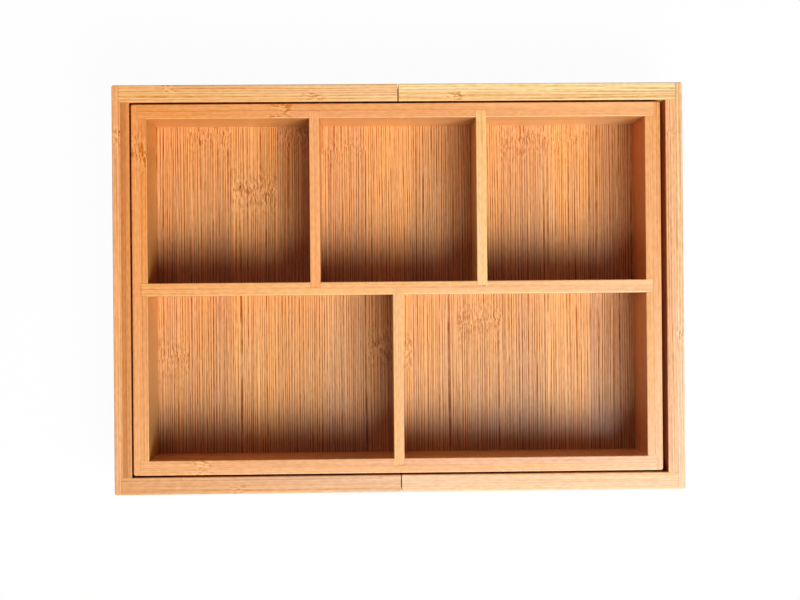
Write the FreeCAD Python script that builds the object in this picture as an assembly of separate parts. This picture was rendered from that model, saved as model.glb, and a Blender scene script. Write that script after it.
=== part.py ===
"""Expandable bamboo drawer organizer: a five-compartment tray between two sliding wings.

The wings are pushed in. X runs across the wings' travel, with the left wing at -X.
Y runs from the front of the drawer (-Y) to its back (+Y). Z is up, and the wings stand on z = 0.
The origin is under the middle of the closed organizer. All sizes are in millimetres.
"""
import FreeCAD, Part
import os

# Overall size with both wings pushed in
closed_length = 330.0
outer_depth = 236.0
height = 55.0

# Wings: each is an end board, two rails and a floor
wing_board = 10.0
wing_lip = 4.0              # wood that the corner rabbet leaves on an end board
wing_seam = 0.5             # gap between the rails of the two wings
wing_floor_thickness = 3.5
wing_floor_web = 2.0        # wood below the groove that holds the wing's floor
wing_floor_setback = 1.0    # the floor stops short of the rails' free ends

# Tray: two end boards, two rails and a floor
tray_end_board = 9.0
tray_rail_board = 8.5
tray_lip = 3.5              # wood that the corner rabbet leaves on an end board
tray_floor_thickness = 3.5
tray_floor_web = 2.0        # wood below the groove that holds the tray's floor
floor_tongue = 3.5          # how far a floor's edge reaches into its groove

# Running clearances between the tray and the wings
side_play = 1.1             # on each side, between the tray's rail and the wing's rail
floor_play = 0.5            # between the tray's lower edge and the wings' floors
left_end_gap = 1.0          # the tray lies nearer to the left wing's end board
right_end_gap = 3.0

# Dividers, all flush with the top of the tray
long_divider_board = 7.6
cross_divider_board = 6.0
front_row_depth = 94.6      # clear depth of the front compartments
back_left_length = 93.4     # clear length of the back row's left compartment
back_right_length = 92.1    # clear length of the back row's right compartment
front_left_length = 141.0   # clear length of the front row's left compartment
long_divider_seat = 4.1     # depth of the dado in an end board
rail_seat = 4.2             # depth of a short divider's dado in a rail
back_divider_seat = 3.2     # depth of the back dividers' dadoes in the long divider
front_divider_seat = 4.0    # depth of the front divider's dado in the long divider

# Guide tongues: round-ended strips glued into the tray's rails, running in the wings' grooves
guide_length = 26.0
guide_height = 6.0
guide_centre_height = 31.0
guide_seat = 3.5            # depth in the tray's rail
guide_reach = 3.5           # depth in the wing's groove
guide_inset = 10.0          # from the tray's end to the tongue
guide_play = 0.4            # running clearance round the tongue in the wing's groove
groove_stop = 21.35         # wood between the wing's groove and the rail's free end, which stops the wing

# Finish and fits
glue_line = 0.05            # room for glue round every seated end and edge
corner_radius = 1.2         # outer upright corners
edge_radius = 0.6           # every other sanded edge
cut_end_radius = 0.3        # edges round a wing rail's free end, which are only eased

# Places that several pieces share
half_length = closed_length / 2
half_depth = outer_depth / 2
wing_inner_x = half_length - wing_board
wing_inner_y = half_depth - wing_board
rail_end_x = wing_seam / 2
wing_floor_heights = (wing_floor_web, wing_floor_web + wing_floor_thickness)

tray_left = -wing_inner_x + left_end_gap
tray_right = wing_inner_x - right_end_gap
tray_half_depth = wing_inner_y - side_play
tray_inner_left = tray_left + tray_end_board
tray_inner_right = tray_right - tray_end_board
tray_inner_y = tray_half_depth - tray_rail_board
tray_bottom = wing_floor_heights[1] + floor_play
tray_floor_heights = (tray_bottom + tray_floor_web, tray_bottom + tray_floor_web + tray_floor_thickness)

tray_heights = (tray_bottom, height)
divider_heights = (tray_floor_heights[1], height)
long_divider_front = -tray_inner_y + front_row_depth
long_divider_back = long_divider_front + long_divider_board


def block(x_ends, y_ends, z_ends, grow=0.0):
    """A straight board between two places on each axis, grown all round where it cuts a seat."""
    x0, x1 = sorted(x_ends)
    y0, y1 = sorted(y_ends)
    z0, z1 = sorted(z_ends)
    corner = FreeCAD.Vector(x0 - grow, y0 - grow, z0 - grow)
    return Part.makeBox(x1 - x0 + 2 * grow, y1 - y0 + 2 * grow, z1 - z0 + 2 * grow, corner)


def tongue(x_ends, y_ends, grow=0.0):
    """A round-ended strip at the guides' height, grown all round where it cuts a slot."""
    x0, x1 = sorted(x_ends)
    y0, y1 = sorted(y_ends)
    radius = guide_height / 2
    middle = block((x0 + radius, x1 - radius), (y0, y1),
                   (guide_centre_height - radius, guide_centre_height + radius), grow)
    pieces = []
    for x in (x0 + radius, x1 - radius):
        start = FreeCAD.Vector(x, y0 - grow, guide_centre_height)
        pieces.append(Part.makeCylinder(radius + grow, y1 - y0 + 2 * grow, start, FreeCAD.Vector(0, 1, 0)))
    return middle.fuse(pieces).removeSplitter()


def near(a, b):
    """True for two places that are the same but for rounding."""
    return abs(a - b) < 1e-6


def upright(edge):
    """True for a straight edge that runs along Z."""
    return near(edge.BoundBox.ZLength, edge.BoundBox.DiagonalLength)


def level_with(edge, z):
    """True for an edge that lies at one height."""
    return near(edge.BoundBox.ZMin, z) and near(edge.BoundBox.ZMax, z)


def lies_across(edge, x):
    """True for an edge that lies at one place along X."""
    return near(edge.BoundBox.XMin, x) and near(edge.BoundBox.XMax, x)


def glued_up(spans):
    """The boards of one frame as a single outline, for sanding its edges after the glue has set."""
    boards = [block(*span) for span in spans]
    return boards[0].fuse(boards[1:]).removeSplitter()


def round_corners(frame, radius, x):
    """Round the upright edges at one place along X that stand on the frame's front and back faces."""
    faces_y = (frame.BoundBox.YMin, frame.BoundBox.YMax)
    corners = [edge for edge in frame.Edges
               if upright(edge) and near(edge.BoundBox.XMin, x)
               and (near(edge.BoundBox.YMin, faces_y[0]) or near(edge.BoundBox.YMin, faces_y[1]))]
    return frame.makeFillet(radius, corners)


def joined(spans, joints, frame):
    """Cut each host board for the pieces that seat in it, and keep what the sanding leaves."""
    pieces = {}
    for name, span in spans.items():
        piece = block(*span)
        for guest in joints.get(name, ()):
            piece = piece.cut(block(*guest, grow=glue_line))
        pieces[name] = piece.common(frame)
    return pieces


def make_tray():
    """The tray's boards, floor and dividers, with their rabbets, grooves and dadoes."""
    end_depth = (-tray_half_depth, tray_half_depth)
    rail_length = (tray_left + tray_lip, tray_right - tray_lip)
    back_divider_depth = (long_divider_back - back_divider_seat, tray_inner_y + rail_seat)
    front_divider_depth = (-tray_inner_y - rail_seat, long_divider_front + front_divider_seat)
    back_left = tray_inner_left + back_left_length
    back_right = tray_inner_right - back_right_length
    front_left = tray_inner_left + front_left_length

    left_end = ((tray_left, tray_inner_left), end_depth, tray_heights)
    right_end = ((tray_inner_right, tray_right), end_depth, tray_heights)
    back_rail = (rail_length, (tray_inner_y, tray_half_depth), tray_heights)
    front_rail = (rail_length, (-tray_half_depth, -tray_inner_y), tray_heights)
    long_divider = ((tray_inner_left - long_divider_seat, tray_inner_right + long_divider_seat),
                    (long_divider_front, long_divider_back), divider_heights)
    upper_left = ((back_left, back_left + cross_divider_board), back_divider_depth, divider_heights)
    upper_right = ((back_right - cross_divider_board, back_right), back_divider_depth, divider_heights)
    lower = ((front_left, front_left + cross_divider_board), front_divider_depth, divider_heights)
    floor = ((tray_inner_left - floor_tongue, tray_inner_right + floor_tongue),
             (-tray_inner_y - floor_tongue, tray_inner_y + floor_tongue), tray_floor_heights)

    boards = {
        "tray_left_end": left_end,
        "tray_right_end": right_end,
        "tray_back_rail": back_rail,
        "tray_front_rail": front_rail,
        "long_divider": long_divider,
        "upper_left_divider": upper_left,
        "upper_right_divider": upper_right,
        "lower_divider": lower,
    }
    joints = {
        "tray_left_end": [back_rail, front_rail, long_divider, floor],
        "tray_right_end": [back_rail, front_rail, long_divider, floor],
        "tray_back_rail": [upper_left, upper_right, floor],
        "tray_front_rail": [lower, floor],
        "long_divider": [upper_left, upper_right, lower],
    }
    frame = round_corners(glued_up(boards.values()), corner_radius, tray_left)
    frame = round_corners(frame, corner_radius, tray_right)
    frame = frame.makeFillet(edge_radius, [edge for edge in frame.Edges if level_with(edge, height)])
    pieces = joined(boards, joints, frame)
    pieces["tray_floor"] = block(*floor)
    return pieces


def make_guides(pieces):
    """Four guide tongues in mortises near the ends of the tray's rails."""
    for side, rail, y_out in (("back", "tray_back_rail", 1), ("front", "tray_front_rail", -1)):
        seat_y = y_out * (tray_half_depth - guide_seat)
        tip_y = y_out * (wing_inner_y + guide_reach)
        for end, x, inward in (("left", tray_left, 1), ("right", tray_right, -1)):
            x_ends = (x + inward * guide_inset, x + inward * (guide_inset + guide_length))
            pieces[f"{side}_{end}_guide"] = tongue(x_ends, (seat_y, tip_y))
            pieces[rail] = pieces[rail].cut(tongue(x_ends, (seat_y, tip_y), glue_line))


def make_wing(name, out):
    """One wing: the left one for out = -1, the right one for out = 1."""
    end = ((out * wing_inner_x, out * half_length), (-half_depth, half_depth), (0, height))
    rail_x = (out * rail_end_x, out * (half_length - wing_lip))
    back_rail = (rail_x, (wing_inner_y, half_depth), (0, height))
    front_rail = (rail_x, (-half_depth, -wing_inner_y), (0, height))
    floor = ((out * (rail_end_x + wing_floor_setback), out * (wing_inner_x + floor_tongue)),
             (-wing_inner_y - floor_tongue, wing_inner_y + floor_tongue), wing_floor_heights)

    boards = {
        f"{name}_end": end,
        f"{name}_back_rail": back_rail,
        f"{name}_front_rail": front_rail,
    }
    joints = {
        f"{name}_end": [back_rail, front_rail, floor],
        f"{name}_back_rail": [floor],
        f"{name}_front_rail": [floor],
    }
    frame = round_corners(glued_up(boards.values()), corner_radius, out * half_length)
    rims = [edge for edge in frame.Edges if (level_with(edge, 0) or level_with(edge, height))
            and not lies_across(edge, out * rail_end_x)]
    frame = frame.makeFillet(edge_radius, rims)
    cut_ends = [edge for edge in frame.Edges if lies_across(edge, out * rail_end_x)]
    frame = frame.makeFillet(cut_end_radius, cut_ends)
    pieces = joined(boards, joints, frame)
    pieces[f"{name}_floor"] = block(*floor)

    # The stopped groove is the same in both wings. Its inner end stops the tongue when the wing is
    # pulled out, and its outer end lets the end board reach the tray.
    slot_x = (out * (rail_end_x + groove_stop + guide_play), out * (wing_inner_x - guide_inset))
    for side, y_out in (("back", 1), ("front", -1)):
        slot_y = (y_out * (tray_half_depth + guide_play), y_out * (wing_inner_y + guide_reach))
        rail = f"{name}_{side}_rail"
        pieces[rail] = pieces[rail].cut(tongue(slot_x, slot_y, guide_play))
    return pieces


parts = make_tray()
make_guides(parts)
parts.update(make_wing("left_wing", -1))
parts.update(make_wing("right_wing", 1))

os.makedirs("parts", exist_ok=True)
for node, shape in parts.items():
    shape.exportStep(f"parts/{node}.step")
    print(f"{node}: {len(shape.Solids)} solid, valid {shape.isValid()}, {shape.Volume / 1000:.1f} cm3")

# A wing travels until its tongues are a running clearance away from the stops.
stop = rail_end_x + groove_stop + guide_play
tongue_end = guide_inset + guide_length
print(f"left wing travel {-tray_left - tongue_end - stop:.2f} mm")
print(f"right wing travel {tray_right - tongue_end - stop:.2f} mm")
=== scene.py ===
"""Looks of an expandable bamboo drawer organizer: a divided tray between two sliding wings."""
import math

import bpy
from mathutils import Matrix, Vector


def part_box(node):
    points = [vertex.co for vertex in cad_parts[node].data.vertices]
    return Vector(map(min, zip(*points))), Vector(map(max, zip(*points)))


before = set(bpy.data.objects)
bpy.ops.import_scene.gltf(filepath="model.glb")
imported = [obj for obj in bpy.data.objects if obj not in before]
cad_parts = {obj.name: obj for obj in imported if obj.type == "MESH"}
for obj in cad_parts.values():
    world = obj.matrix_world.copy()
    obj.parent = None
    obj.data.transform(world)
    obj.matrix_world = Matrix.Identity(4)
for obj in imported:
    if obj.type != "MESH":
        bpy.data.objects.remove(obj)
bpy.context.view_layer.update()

# Tray floor. A panel of caramelised bamboo ply that lies in grooves in the tray's four boards. Its
# face is made of flat strips 27.1 mm wide, glued edge to edge, with the fibres running from front
# to back. The first strip is ripped narrower, and each one shows the knuckle of its own culm.

shades = {"caramel": "D1955F", "light_caramel": "DC9F65", "fawn": "CF9765"}


def linear(hex_colour):
    """Turns an sRGB colour such as E1965A into the linear colour that a shader takes."""
    channels = [int(hex_colour[i:i + 2], 16) / 255 for i in (0, 2, 4)]
    return [c / 12.92 if c <= 0.04045 else ((c + 0.055) / 1.055) ** 2.4 for c in channels] + [1.0]


def add(tree, kind, inputs, **settings):
    """Adds a shader node with its settings, and gives each input a value or another node's output."""
    made = tree.nodes.new("ShaderNode" + kind)
    for name, value in settings.items():
        setattr(made, name, value)
    for name, value in inputs.items():
        if isinstance(value, bpy.types.Node):
            value = value.outputs[0]
        if isinstance(value, bpy.types.NodeSocket):
            tree.links.new(value, made.inputs[name])
        else:
            made.inputs[name].default_value = value
    return made


def lacquered_bamboo(board, grain, across, strips, spacing_mm, run_mm, lines, knuckle_zone_mm, dashes,
                     ticks, veins, seams, sides, low_glue=0.5, high_glue=0.5, paler=0.0, duller=0.0):
    """Laminated bamboo under a thin satin lacquer, for one board.

    grain is the axis of the fibres, and across the axis on which the glued strips follow each
    other. strips gives each strip's start in mm, its shade, the place of its knuckle along the
    grain in mm, and how strongly the knuckle shows. Places count from the board's low corner.
    spacing_mm is the distance between fibre bundles, run_mm how far one stays dark, and
    knuckle_zone_mm how far from a knuckle the lines break into dashes. sides tints the faces that
    stand upright, partly with the wood's own tone and partly with painted shade. The others say how
    far lines, dashes, ticks, veins, seams and glue darken the wood, and how much paler or duller it
    grows from its middle to its high end, partly as the culm's own tone and partly as painted sheen
    and light falloff.
    """
    low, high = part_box(board)
    width_mm = (high[across] - low[across]) * 1000
    length_mm = (high[grain] - low[grain]) * 1000
    board_seed = float(sum(ord(letter) for letter in board) % 97)
    material = bpy.data.materials.new(board + "_lacquered_bamboo")
    material.use_nodes = True
    tree = material.node_tree
    tree.nodes.clear()

    # Where a point is, in mm from the board's low corner, and which strip it lies in
    place = add(tree, "TexCoord", {})
    mm = add(tree, "VectorMath", {0: place.outputs["Object"], 1: [1000.0] * 3, 2: [c * -1000 for c in low]},
             operation="MULTIPLY_ADD")
    apart = add(tree, "SeparateXYZ", {"Vector": mm})
    share_across = add(tree, "Math", {0: apart.outputs[across], 1: width_mm}, operation="DIVIDE")
    shade = add(tree, "ValToRGB", {"Fac": share_across})
    strip = add(tree, "ValToRGB", {"Fac": share_across})
    seam = add(tree, "ValToRGB", {"Fac": share_across})
    for ramp in (shade.color_ramp, strip.color_ramp, seam.color_ramp):
        ramp.interpolation = "CONSTANT"
        ramp.elements.remove(ramp.elements[1])
        ramp.elements[0].color = (0.0, 0.0, 0.0, 1.0)
    for number, (start, shade_name, knuckle, strength) in enumerate(strips):
        if number > 0:
            shade.color_ramp.elements.new(start / width_mm)
            strip.color_ramp.elements.new(start / width_mm)
            seam.color_ramp.elements.new((start - 0.15) / width_mm).color = (1.0, 1.0, 1.0, 1.0)
            seam.color_ramp.elements.new((start + 0.15) / width_mm).color = (0.0, 0.0, 0.0, 1.0)
        shade.color_ramp.elements[number].color = linear(shades[shade_name])
        strip.color_ramp.elements[number].color = (strength, knuckle / 400, (number + 0.5) / len(strips), 1.0)
    strength, knuckle_share, number = add(tree, "SeparateColor", {"Color": strip}).outputs

    # Each strip, and each of the 27 mm courses up the side of a board, is cut from another culm
    courses_up = add(tree, "Math", {0: apart.outputs[2], 1: 27.4}, operation="DIVIDE")
    course = add(tree, "Math", {0: courses_up}, operation="FLOOR")
    strips_in = add(tree, "Math", {0: number, 1: 37.0}, operation="MULTIPLY")
    culm_at = add(tree, "CombineXYZ", {0: strips_in, 1: course, 2: board_seed})
    culm = add(tree, "TexWhiteNoise", {"Vector": culm_at})
    culm_shift = add(tree, "VectorMath", {0: culm.outputs["Color"], "Scale": 70.0}, operation="SCALE")

    def streaks(points, across_mm, along_mm):
        """A soft random pattern of the given real size across and along the fibres."""
        size = [1 / along_mm if axis == grain else 1 / across_mm for axis in range(3)]
        at = add(tree, "VectorMath", {0: points, 1: size, 2: culm_shift}, operation="MULTIPLY_ADD")
        return add(tree, "TexNoise", {"Vector": at, "Scale": 1.0, "Detail": 1.0})

    # The knuckle's line is ragged, because each fibre bundle ends at a place of its own
    knuckle_mm = add(tree, "Math", {0: knuckle_share, 1: 400.0}, operation="MULTIPLY")
    from_knuckle = add(tree, "Math", {0: apart.outputs[grain], 1: knuckle_mm}, operation="SUBTRACT")
    wander = add(tree, "MapRange", {0: streaks(mm, 14.0, 60.0), 1: 0.3, 2: 0.7, 3: -4.0, 4: 4.0})
    ragged = add(tree, "MapRange", {0: streaks(mm, 1.4, 9.0), 1: 0.3, 2: 0.7, 3: -2.0, 4: 2.0})
    from_line = add(tree, "Math", {0: from_knuckle, 1: add(tree, "Math", {0: wander, 1: ragged})})
    beyond = add(tree, "Math", {0: from_line, 1: 0.0}, operation="GREATER_THAN")
    off_line = add(tree, "Math", {0: from_line}, operation="ABSOLUTE")
    on_line = add(tree, "MapRange", {0: off_line, 1: 0.2, 2: 1.2, 3: strength, 4: 0.0})
    at_knuckle = add(tree, "MapRange", {0: off_line, 1: 0.5, 2: knuckle_zone_mm * 0.4, 3: strength, 4: 0.0},
                     interpolation_type="SMOOTHSTEP")
    near = add(tree, "MapRange", {0: off_line, 1: 0.0, 2: knuckle_zone_mm, 3: strength, 4: 0.0},
               interpolation_type="SMOOTHSTEP")

    # Fibres sway a little everywhere, swerve at the knuckle, and begin anew beyond it
    sway = add(tree, "VectorMath", {0: streaks(mm, 9.0, 260.0).outputs["Color"], 1: [1.6] * 3, 2: mm},
               operation="MULTIPLY_ADD")
    turn = add(tree, "VectorMath", {0: streaks(mm, 3.2, 4.0).outputs["Color"], 1: [0.5] * 3},
               operation="SUBTRACT")
    turn_mm = add(tree, "Math", {0: at_knuckle, 1: 1.6}, operation="MULTIPLY")
    swerve = add(tree, "VectorMath", {0: turn, "Scale": turn_mm}, operation="SCALE")
    new_start = add(tree, "VectorMath", {0: [47.3] * 3, "Scale": beyond}, operation="SCALE")
    swerved = add(tree, "VectorMath", {0: sway, 1: swerve})
    fibres_at = add(tree, "VectorMath", {0: swerved, 1: new_start})

    # Fibre bundles lie side by side at a nearly even spacing, so they show as fine dark lines with
    # light ones between them. A second, wider set makes some lines stand out. At the knuckle the
    # lines break into dashes.
    side = add(tree, "SeparateXYZ", {"Vector": fibres_at})
    side_mm = add(tree, "Math", {0: side.outputs[across], 1: side.outputs[2]})
    drift = add(tree, "SeparateColor", {"Color": streaks(fibres_at, 3.5, 220.0).outputs["Color"]})
    rows = []
    for spacing, shift in ((spacing_mm, drift.outputs[0]), (spacing_mm * 1.5, drift.outputs[1])):
        shifted = add(tree, "Math", {0: shift, 1: 16.0}, operation="MULTIPLY")
        turns = add(tree, "Math", {0: side_mm, 1: math.tau / spacing, 2: shifted}, operation="MULTIPLY_ADD")
        rows.append(add(tree, "Math", {0: turns}, operation="SINE"))
    steady = add(tree, "MapRange", {0: streaks(mm, 2.0, run_mm), 1: 0.35, 2: 0.6, 3: 0.1, 4: 1.0})
    dashed = add(tree, "MapRange", {0: streaks(fibres_at, 1.5, 4.5), 1: 0.44, 2: 0.56, 3: 0.0,
                                    4: dashes / lines})
    depth = add(tree, "Mix", {"Factor": near, "A": steady, "B": dashed})
    fine = add(tree, "Math", {0: rows[0], 1: depth}, operation="MULTIPLY")
    bundles = add(tree, "Math", {0: rows[1], 1: 0.3, 2: fine}, operation="MULTIPLY_ADD")

    # Around a knuckle the wood is paler, and the cut ends of bundles show as short dark ticks
    cut_ends = add(tree, "MapRange", {0: streaks(fibres_at, 1.1, 3.5), 1: 0.48, 2: 0.58, 3: -0.4, 4: 1.0})
    ticks_here = add(tree, "Math", {0: cut_ends, 1: near}, operation="MULTIPLY")

    # Glue shows as a thin dark line at the board's ends, and as specks at its knuckle
    to_high_end = add(tree, "Math", {0: length_mm, 1: apart.outputs[grain]}, operation="SUBTRACT")
    low_end = add(tree, "MapRange", {0: apart.outputs[grain], 1: 0.3, 2: 0.8, 3: low_glue, 4: 0.0})
    high_end = add(tree, "MapRange", {0: to_high_end, 1: 0.3, 2: 0.8, 3: high_glue, 4: 0.0})
    glue = add(tree, "Math", {0: low_end, 1: high_end})
    specks = add(tree, "MapRange", {0: streaks(mm, 1.5, 1.5), 1: 0.4, 2: 0.6, 3: 0.2, 4: 1.0})
    dark = add(tree, "Math", {0: on_line, 1: 0.2, 2: glue}, operation="MULTIPLY_ADD")
    marks = add(tree, "Math", {0: dark, 1: specks}, operation="MULTIPLY")

    # Dark fibre is redder than the wood around it, and light fibre yellower
    long_veins = add(tree, "MapRange", {0: streaks(mm, 0.8, 320.0), 1: 0.57, 2: 0.7})
    darker = add(tree, "Math", {0: bundles, 1: lines}, operation="MULTIPLY")
    for part, amount in ((marks, 0.8), (ticks_here, ticks), (seam, seams), (long_veins, veins)):
        darker = add(tree, "Math", {0: part, 1: amount, 2: darker}, operation="MULTIPLY_ADD")

    # Pores fleck the wood all over
    flecks = add(tree, "MapRange", {0: streaks(mm, 1.3, 4.0), 1: 0.35, 2: 0.65, 3: -0.22, 4: 0.22})
    darker = add(tree, "Math", {0: darker, 1: flecks})

    # On a board, the eased edges are painted paler, a painted highlight. The faces that stand upright
    # take the sides tint, partly the wood's own tone and partly painted shade
    side_face = 0.0
    if not board.endswith("floor"):
        facing = add(tree, "SeparateXYZ", {"Vector": place.outputs["Normal"]}).outputs[2]
        level = add(tree, "Math", {0: facing}, operation="ABSOLUTE")
        steep = add(tree, "Math", {0: 1.0, 1: level}, operation="SUBTRACT")
        painted_edge_highlight = add(tree, "Math", {0: level, 1: steep}, operation="MULTIPLY")
        darker = add(tree, "Math", {0: painted_edge_highlight, 1: -1.8, 2: darker}, operation="MULTIPLY_ADD")
        side_face = add(tree, "MapRange", {0: level, 1: 0.4, 2: 0.9, 3: 1.0, 4: 0.0})
    tint = add(tree, "VectorMath", {0: darker, 1: [-0.23, -0.34, -0.52], 2: [1.0] * 3},
               operation="MULTIPLY_ADD")
    tint = add(tree, "VectorMath", {0: tint, 1: [1.35] * 3}, operation="MINIMUM")

    # Wider patches are nearly neutral, and some wood is pinker or yellower. No two culms are alike.
    # Each board grows paler and duller towards one end, partly the culm's own tone and partly painted
    # sheen and light falloff
    along = add(tree, "MapRange", {0: apart.outputs[grain], 2: length_mm, 3: -1.0, 4: 1.0})
    sheen_and_ripeness = [share * paler - duller for share in (0.03, 0.13, 0.3)]
    patches = add(tree, "SeparateColor", {"Color": streaks(sway, 6.0, 130.0).outputs["Color"]})
    tone = add(tree, "MapRange", {0: patches.outputs[0], 1: 0.3, 2: 0.7, 3: -1.0, 4: 1.0})
    pinkness = add(tree, "MapRange", {0: patches.outputs[1], 1: 0.3, 2: 0.7, 3: -1.0, 4: 1.0})
    own_tone = add(tree, "MapRange", {0: culm, 3: -1.0, 4: 1.0})
    for part, change in ((tone, [-0.05, -0.06, -0.05]), (pinkness, [-0.015, 0.0, 0.1]),
                         (own_tone, [-0.015, -0.02, -0.02]), (along, sheen_and_ripeness)):
        tint = add(tree, "VectorMath", {0: part, 1: change, 2: tint}, operation="MULTIPLY_ADD")
    tint = add(tree, "VectorMath", {0: tint, 1: [0.05] * 3}, operation="MAXIMUM")
    wood = add(tree, "VectorMath", {0: shade, 1: tint}, operation="MULTIPLY")
    colour = add(tree, "Mix", {"Factor": side_face, 6: wood, 7: linear(sides)}, data_type="RGBA",
                 blend_type="MULTIPLY", clamp_result=True).outputs[2]

    # Satin lacquer, thin enough for the fibres to be felt
    relief = add(tree, "Bump", {"Strength": 0.15, "Distance": 0.00006, "Height": bundles}, invert=True)
    surface = add(tree, "BsdfPrincipled", {"Base Color": colour, "Roughness": 0.3, "Normal": relief})
    add(tree, "OutputMaterial", {"Surface": surface})
    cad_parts[board].material_slots[0].material = material


X, Y = 0, 1
first_strip, strip_width = 20.9, 27.1
floor_strips = [("caramel", 63.0, 0.9), ("caramel", 196.0, 1.0), ("light_caramel", 161.0, 1.0),
                ("caramel", 197.0, 0.9), ("fawn", 186.0, 0.5), ("light_caramel", 66.0, 1.0),
                ("fawn", 400.0, 0.0), ("fawn", 82.0, 1.0), ("fawn", 192.0, 0.9),
                ("light_caramel", 192.0, 0.5), ("fawn", 400.0, 0.0), ("fawn", 400.0, 0.0)]
strips = [(max(0.0, first_strip + strip_width * (number - 1)), *strip)
          for number, strip in enumerate(floor_strips)]
ply_looks = {"spacing_mm": 1.4, "run_mm": 13.0, "knuckle_zone_mm": 26.0, "dashes": 1.3, "ticks": 0.8,
             "veins": 0.3, "seams": 0.4, "sides": "FFFFFF"}
# The floor's paler and duller settings are painted sheen and light falloff: less red and more blue towards
# the front, near the softbox
lacquered_bamboo("tray_floor", Y, X, strips, lines=1.9, paler=-0.54, duller=-0.086, **ply_looks)

# Tray boards. Two long rails set into the rabbets of two end boards, all 8 to 9 mm thick and of an
# amber batch. Each is pressed from strips that lie flat against its faces, so that its top edge
# shows two layers and a thin glue line.
shades.update(amber="F5A562", ochre="EEAD73", copper="F7AA6B", apricot="F9B276", peach="ECB07E")
board_looks = {"spacing_mm": 1.5, "run_mm": 9.0, "knuckle_zone_mm": 9.0, "dashes": 0.8, "ticks": 1.2,
               "veins": 0.6, "seams": 0.5, "sides": "E2E8CC"}
# The upright faces' tints are partly painted shade. The left end's inner wall faces the softbox and is tinted
# darker. The inner walls of the right end and the front rail face away and are tinted lighter.
lacquered_bamboo("tray_left_end", Y, X, [(0.0, "amber", 190.0, 1.0), (4.5, "amber", 186.0, 1.0)],
                 lines=0.27, paler=-1.3, duller=-0.11,
                 **dict(board_looks, knuckle_zone_mm=18.0, sides="D4DFBC"))
lacquered_bamboo("tray_right_end", Y, X, [(0.0, "ochre", 60.0, 0.0), (4.5, "ochre", 120.0, 0.0)],
                 lines=0.27, paler=-1.2, duller=-0.11, **dict(board_looks, sides="F6E1CC"))
lacquered_bamboo("tray_back_rail", X, Y, [(0.0, "copper", 84.0, 0.9), (4.4, "copper", 84.0, 1.0)],
                 lines=0.27, paler=1.15, **board_looks)
lacquered_bamboo("tray_front_rail", X, Y, [(0.0, "peach", 38.0, 0.8), (4.4, "peach", 38.0, 1.0)],
                 lines=0.22, paler=0.6, duller=0.02, **dict(board_looks, sides="FAF4E8"))

# Dividers. Thin boards of the same make, flush with the tray's rim. The long one is let into the
# end boards, and the short ones into the rails and the long one. Glue darkened some of the joints.
shades.update(wheat="F2BA80", straw="FBC686", biscuit="F6B77C")
lacquered_bamboo("long_divider", X, Y, [(0.0, "biscuit", 230.0, 0.0), (3.8, "biscuit", 60.0, 0.0)],
                 lines=0.27, low_glue=1.0, paler=1.3, duller=0.04, **board_looks)
lacquered_bamboo("upper_left_divider", Y, X, [(0.0, "copper", 30.0, 0.0), (3.0, "copper", 80.0, 0.0)],
                 lines=0.27, **board_looks)
lacquered_bamboo("upper_right_divider", Y, X, [(0.0, "straw", 30.0, 0.0), (3.0, "straw", 80.0, 0.0)],
                 lines=0.27, low_glue=3.0, high_glue=0.2, paler=-0.5, duller=-0.04, **board_looks)
lacquered_bamboo("lower_divider", Y, X, [(0.0, "wheat", 30.0, 0.0), (3.0, "wheat", 80.0, 0.0)],
                 lines=0.27, low_glue=1.5, **board_looks)

# Guide tongues. Small blocks glued to the outside of the tray's rails. They run in the grooves of
# the wings' rails and keep the wings on the tray.
for corner in ("back_left", "back_right", "front_left", "front_right"):
    lacquered_bamboo(corner + "_guide", X, Y, [(0.0, "ochre", 400.0, 0.0)], lines=0.27, **board_looks)

# Wing boards. 10 mm thick, pressed as the tray's boards are, with two or three layers in the top
# edge. The left wing is of a riper, more orange batch, and the right wing of a paler one.
shades.update(cream="FDD69A", honey="EBBE8F", gold="FFBD7C", russet="E49657", tan="D88846", pecan="E3AB7A")
board_looks["sides"] = "EFE2CE"
lacquered_bamboo("left_wing_end", Y, X, [(0.0, "apricot", 207.0, 1.0), (4.8, "tan", 90.0, 0.0),
                                         (7.4, "russet", 120.0, 0.0)],
                 lines=0.45, paler=-0.8, duller=-0.13, **board_looks)
lacquered_bamboo("left_wing_back_rail", X, Y, [(0.0, "gold", 113.0, 0.9), (5.0, "gold", 28.0, 1.0)],
                 lines=0.85, paler=0.8, duller=0.03, **board_looks)
lacquered_bamboo("left_wing_front_rail", X, Y, [(0.0, "pecan", 68.0, 0.8), (5.0, "pecan", 150.0, 0.0)],
                 lines=0.35, paler=1.1, **board_looks)
lacquered_bamboo("right_wing_end", Y, X, [(0.0, "peach", 205.0, 0.4), (5.8, "honey", 89.0, 0.8)],
                 lines=0.85, paler=-0.6, duller=-0.12, **board_looks)
lacquered_bamboo("right_wing_back_rail", X, Y, [(0.0, "straw", 33.0, 1.0), (5.2, "cream", 120.0, 0.0)],
                 lines=0.9, paler=0.4, duller=0.03, **board_looks)
lacquered_bamboo("right_wing_front_rail", X, Y, [(0.0, "honey", 80.0, 0.0), (5.0, "honey", 150.0, 0.0)],
                 lines=0.25, paler=-0.5, duller=0.02, **board_looks)

# Wing floors. Ply as in the tray, 3.5 mm thick, in grooves in the wing's three boards. They slide
# under the tray, and only show when the wings are pulled out.
for wing, ripped in (("left_wing", 16.0), ("right_wing", 21.0)):
    strips = []
    for number in range(7):
        shade_name = ("caramel", "light_caramel", "fawn")[number % 3]
        start = max(0.0, ripped + strip_width * (number - 1))
        strips.append((start, shade_name, 40.0 + 55.0 * (number * 2 % 4), 0.9))
    lacquered_bamboo(wing + "_floor", Y, X, strips, lines=1.9, **ply_looks)

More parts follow.
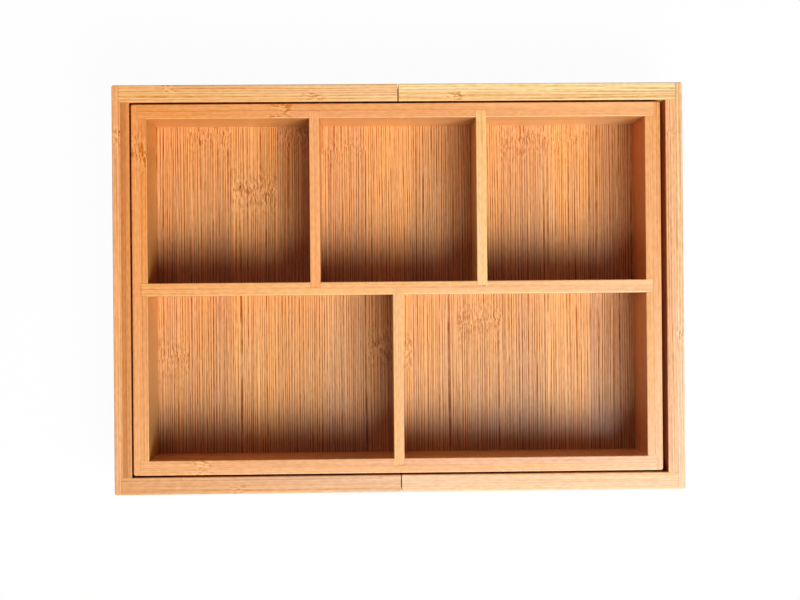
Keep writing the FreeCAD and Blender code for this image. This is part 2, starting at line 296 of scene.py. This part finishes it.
# Studio. A table covered with white paper, a large softbox in front and to the right, a low warm
# reflector at the back left, and a pale room that gives a faint cool fill. The lacquer mirrors its
# ceiling a little. The camera looks straight down.
table = bpy.data.objects.new("table", bpy.data.meshes.new("table"))
bpy.context.scene.collection.objects.link(table)
table.data.from_pydata([(-3, -3, 0), (3, -3, 0), (3, 3, 0), (-3, 3, 0)], [], [(0, 1, 2, 3)])
table.location.z = -0.0002
paper = bpy.data.materials.new("white_paper")
paper.use_nodes = True
tree = paper.node_tree
tree.nodes.clear()
matt = add(tree, "BsdfDiffuse", {"Color": linear("EDEDED")})
glow = add(tree, "Emission", {"Color": [1.0, 1.0, 1.0, 1.0], "Strength": 1.0})
seen = add(tree, "LightPath", {}).outputs["Is Camera Ray"]
share = add(tree, "Math", {0: seen, 1: 0.97}, operation="MULTIPLY")
both = add(tree, "MixShader", {0: share, 1: matt, 2: glow})
add(tree, "OutputMaterial", {"Surface": both})
table.data.materials.append(paper)

world = bpy.data.worlds.new("studio")
bpy.context.scene.world = world
world.use_nodes = True
tree = world.node_tree
tree.nodes.clear()
rays = add(tree, "LightPath", {})
room = add(tree, "Mix", {"Factor": rays.outputs["Is Glossy Ray"], 6: [0.026, 0.03, 0.042, 1.0],
                         7: [0.2, 0.2, 0.2, 1.0]}, data_type="RGBA").outputs[2]
backdrop = add(tree, "Mix", {"Factor": rays.outputs["Is Camera Ray"], 6: room, 7: [1.0] * 4},
               data_type="RGBA").outputs[2]
sky = add(tree, "Background", {"Color": backdrop, "Strength": 1.0})
add(tree, "OutputWorld", {"Surface": sky})

for lamp, width, height, watts, colour, turned, place in (
        ("softbox", 1.21, 0.98, 43.5, (1.0, 1.0, 1.0), 0.21, Vector((0.53, -0.90, 1.41))),
        ("reflector", 1.0, 0.6, 3.5, (1.0, 0.62, 0.55), 0.0, Vector((-1.1, 1.3, 0.42)))):
    light = bpy.data.lights.new(lamp, "AREA")
    light.shape = "RECTANGLE"
    light.size, light.size_y = width, height
    light.energy = watts
    light.color = colour
    stand = bpy.data.objects.new(lamp, light)
    aim = (-place).to_track_quat("-Z", "Y").to_matrix().to_4x4()
    stand.matrix_world = Matrix.Translation(place) @ aim @ Matrix.Rotation(turned, 4, "Z")
    bpy.context.scene.collection.objects.link(stand)

camera_data = bpy.data.cameras.new("camera")
camera_data.sensor_width = 36.0
camera_data.lens = 70.6
camera = bpy.data.objects.new("camera", camera_data)
camera.location = (-0.0210, -0.0088, 0.9612)
camera.rotation_euler = [math.radians(angle) for angle in (0.124, -1.336, -0.506)]
bpy.context.scene.collection.objects.link(camera)
bpy.context.scene.camera = camera
bpy.context.scene.view_settings.view_transform = "Standard"
